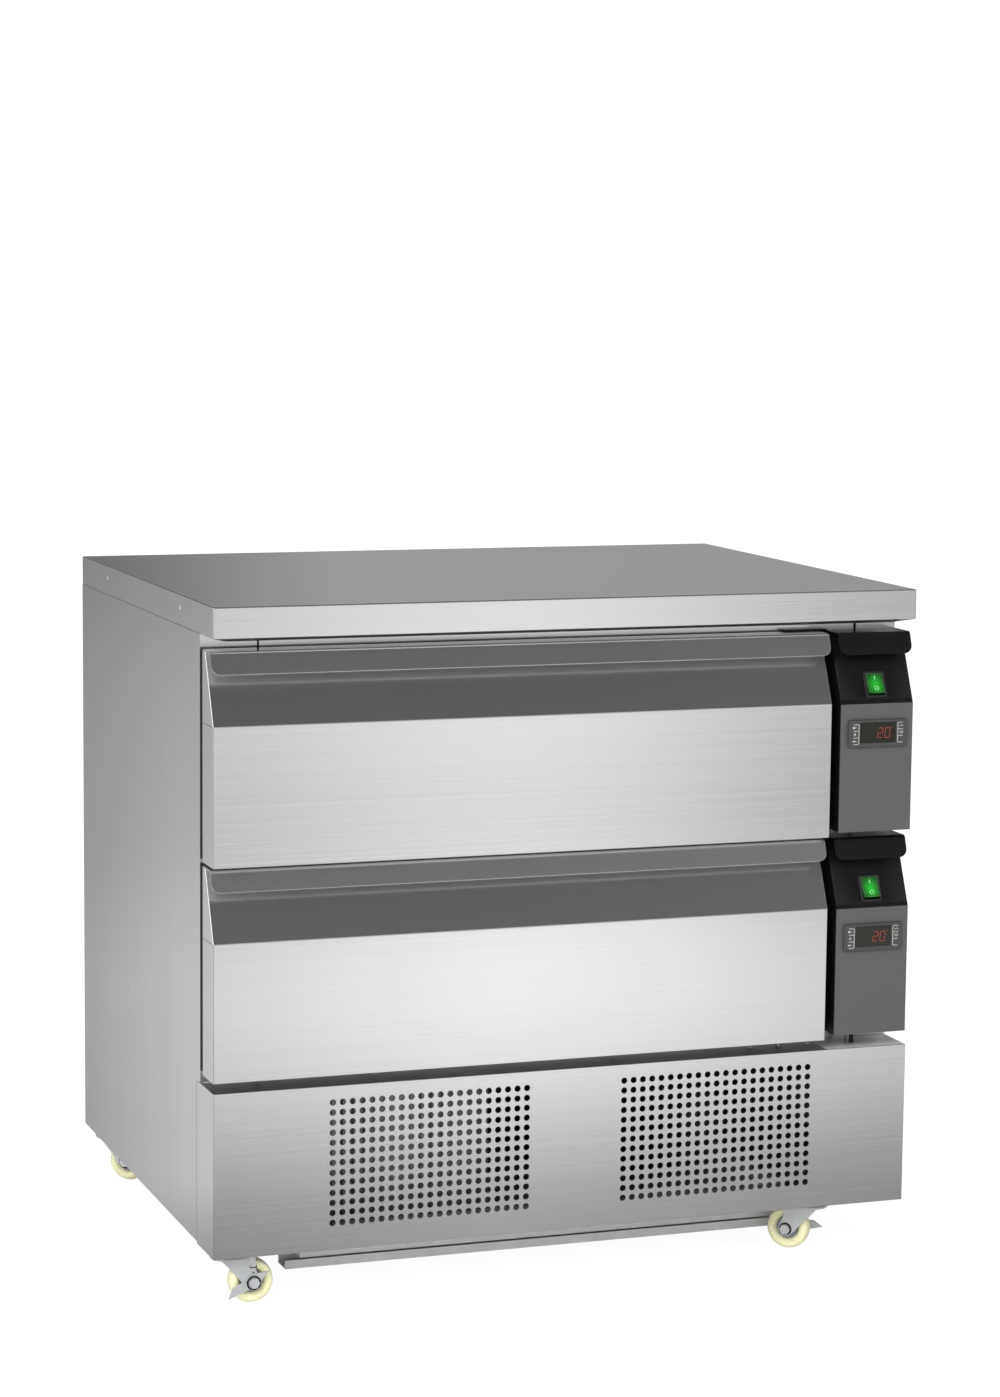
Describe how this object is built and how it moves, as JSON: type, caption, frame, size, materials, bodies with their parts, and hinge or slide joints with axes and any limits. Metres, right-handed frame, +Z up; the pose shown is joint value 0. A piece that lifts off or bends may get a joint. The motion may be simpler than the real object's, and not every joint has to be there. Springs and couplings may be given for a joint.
{
  "type": "refrigerated drawer counter",
  "caption": "Stainless refrigerated drawer counter on casters, with wide insulated drawers, a control column at the right and a perforated plinth.",
  "frame": {"origin": "middle of the footprint, on the floor under the wheels", "axes": "+X to the right as seen from the front, +Y to the back, +Z up, so the drawers pull out along -Y"},
  "size_m": [0.93, 0.704, 0.87],
  "materials": {
    "stainless": "satin",
    "stainless_inner": "matte",
    "galvanised": "matte",
    "zinc_plate": "gloss",
    "aluminium_fins": "satin",
    "black_enamel": "satin",
    "fan_plastic": "matte",
    "black_plastic": "matte",
    "grey_film": "matte",
    "green_lens": "gloss",
    "grey_bezel": "satin",
    "nylon": "satin",
    "gasket_rubber": "matte",
    "foam": "matte",
    "board": "matte"
  },
  "bodies": {
    "cabinet": {"back_panel": "galvanised", "base_frame": "galvanised", "cabinet_insulation": "foam", "cabinet_slides": "zinc_plate", "cable_gland": "black_plastic", "caster_plates": "zinc_plate", "chassis_beams": "galvanised", "condenser_fan_shrouds": "galvanised", "control_face_plates": "grey_film", "evaporator_covers": "stainless_inner", "front_frame": "stainless", "insulation_deck": "galvanised", "left_compressor": "black_enamel", "left_condenser": "aluminium_fins", "left_side_panel": "stainless", "lower_bay_liner": "aluminium_fins", "lower_control_housing": "black_plastic", "lower_evaporator": "aluminium_fins", "lower_thermostat": "grey_bezel", "machine_pan": "galvanised", "plinth_panel": "stainless", "plinth_screws": "zinc_plate", "right_compressor": "black_enamel", "right_condenser": "aluminium_fins", "right_side_panel": "stainless", "switch_bezels": "black_plastic", "upper_bay_liner": "aluminium_fins", "upper_control_housing": "black_plastic", "upper_evaporator": "aluminium_fins", "upper_thermostat": "grey_bezel", "worktop": "stainless", "worktop_board": "board"},
    "upper_drawer": {"upper_drawer_front": "stainless", "upper_drawer_inner_panel": "foam", "upper_drawer_gasket": "gasket_rubber", "upper_drawer_box": "stainless_inner", "upper_drawer_slides": "zinc_plate"},
    "upper_slides": {"upper_middle_slides": "zinc_plate"},
    "upper_switch": {"upper_rocker": "green_lens"},
    "upper_evaporator_rotor": {"upper_evaporator_fan": "fan_plastic"},
    "lower_drawer": {"lower_drawer_front": "stainless", "lower_drawer_inner_panel": "foam", "lower_drawer_gasket": "gasket_rubber", "lower_drawer_box": "stainless_inner", "lower_drawer_slides": "zinc_plate"},
    "lower_slides": {"lower_middle_slides": "zinc_plate"},
    "lower_switch": {"lower_rocker": "green_lens"},
    "lower_evaporator_rotor": {"lower_evaporator_fan": "fan_plastic"},
    "front_left_swivel": {"front_left_fork": "zinc_plate"},
    "front_left_roller": {"front_left_wheel": "nylon"},
    "front_right_swivel": {"front_right_fork": "zinc_plate"},
    "front_right_roller": {"front_right_wheel": "nylon"},
    "back_left_swivel": {"back_left_fork": "zinc_plate"},
    "back_left_roller": {"back_left_wheel": "nylon"},
    "back_right_swivel": {"back_right_fork": "zinc_plate"},
    "back_right_roller": {"back_right_wheel": "nylon"},
    "front_left_lever": {"front_left_brake": "zinc_plate"},
    "front_right_lever": {"front_right_brake": "zinc_plate"},
    "left_condenser_rotor": {"left_condenser_fan": "fan_plastic"},
    "right_condenser_rotor": {"right_condenser_fan": "fan_plastic"}
  },
  "joints": [
    {"name": "upper_drawer_slide", "type": "slide", "parent": "cabinet", "child": "upper_drawer", "axis": [0, -1, 0], "range_m": [0, 0.48]},
    {"name": "upper_middle_slide", "type": "slide", "parent": "cabinet", "child": "upper_slides", "axis": [0, -1, 0], "range_m": [0, 0.24]},
    {"name": "upper_rocker_tilt", "type": "hinge", "parent": "cabinet", "child": "upper_switch", "pos_m": [0.413, -0.33455, 0.74586], "axis": [1, 0, 0], "range_deg": [0, 16]},
    {"name": "upper_evaporator_fan_spin", "type": "hinge", "parent": "cabinet", "child": "upper_evaporator_rotor", "pos_m": [0.3302, -0.123, 0.7085], "axis": [1, 0, 0], "continuous": true},
    {"name": "lower_drawer_slide", "type": "slide", "parent": "cabinet", "child": "lower_drawer", "axis": [0, -1, 0], "range_m": [0, 0.48]},
    {"name": "lower_middle_slide", "type": "slide", "parent": "cabinet", "child": "lower_slides", "axis": [0, -1, 0], "range_m": [0, 0.24]},
    {"name": "lower_rocker_tilt", "type": "hinge", "parent": "cabinet", "child": "lower_switch", "pos_m": [0.413, -0.33455, 0.48036], "axis": [1, 0, 0], "range_deg": [0, 16]},
    {"name": "lower_evaporator_fan_spin", "type": "hinge", "parent": "cabinet", "child": "lower_evaporator_rotor", "pos_m": [0.3302, -0.123, 0.443], "axis": [1, 0, 0], "continuous": true},
    {"name": "front_left_swivel_turn", "type": "hinge", "parent": "cabinet", "child": "front_left_swivel", "pos_m": [-0.433, -0.3095, 0.0615], "axis": [0, 0, 1], "continuous": true},
    {"name": "front_left_wheel_spin", "type": "hinge", "parent": "front_left_swivel", "child": "front_left_roller", "pos_m": [-0.408, -0.3095, 0.028], "axis": [0, 1, 0], "continuous": true},
    {"name": "front_left_brake_press", "type": "hinge", "parent": "front_left_swivel", "child": "front_left_lever", "pos_m": [-0.408, -0.3095, 0.028], "axis": [0, 1, 0], "range_deg": [0, 18]},
    {"name": "front_right_swivel_turn", "type": "hinge", "parent": "cabinet", "child": "front_right_swivel", "pos_m": [0.348, -0.3095, 0.0615], "axis": [0, 0, 1], "continuous": true},
    {"name": "front_right_wheel_spin", "type": "hinge", "parent": "front_right_swivel", "child": "front_right_roller", "pos_m": [0.32913, -0.2931, 0.028], "axis": [-0.6561, -0.7547, 0], "continuous": true},
    {"name": "front_right_brake_press", "type": "hinge", "parent": "front_right_swivel", "child": "front_right_lever", "pos_m": [0.32913, -0.2931, 0.028], "axis": [-0.6561, -0.7547, 0], "range_deg": [-18, 0]},
    {"name": "back_left_swivel_turn", "type": "hinge", "parent": "cabinet", "child": "back_left_swivel", "pos_m": [-0.433, 0.31, 0.0615], "axis": [0, 0, 1], "continuous": true},
    {"name": "back_left_wheel_spin", "type": "hinge", "parent": "back_left_swivel", "child": "back_left_roller", "pos_m": [-0.41442, 0.29327, 0.028], "axis": [0.6691, 0.7431, 0], "continuous": true},
    {"name": "back_right_swivel_turn", "type": "hinge", "parent": "cabinet", "child": "back_right_swivel", "pos_m": [0.348, 0.31, 0.0615], "axis": [0, 0, 1], "continuous": true},
    {"name": "back_right_wheel_spin", "type": "hinge", "parent": "back_right_swivel", "child": "back_right_roller", "pos_m": [0.32451, 0.30145, 0.028], "axis": [0.342, -0.9397, 0], "continuous": true},
    {"name": "left_condenser_fan_spin", "type": "hinge", "parent": "cabinet", "child": "left_condenser_rotor", "pos_m": [-0.186, -0.198, 0.131], "axis": [0, 1, 0], "continuous": true},
    {"name": "right_condenser_fan_spin", "type": "hinge", "parent": "cabinet", "child": "right_condenser_rotor", "pos_m": [0.186, 0.2, 0.131], "axis": [0, 1, 0], "continuous": true}
  ],
  "couplings": [
    {"joint": "upper_middle_slide", "follows": "upper_drawer_slide", "ratio": 0.5},
    {"joint": "lower_middle_slide", "follows": "lower_drawer_slide", "ratio": 0.5}
  ]
}
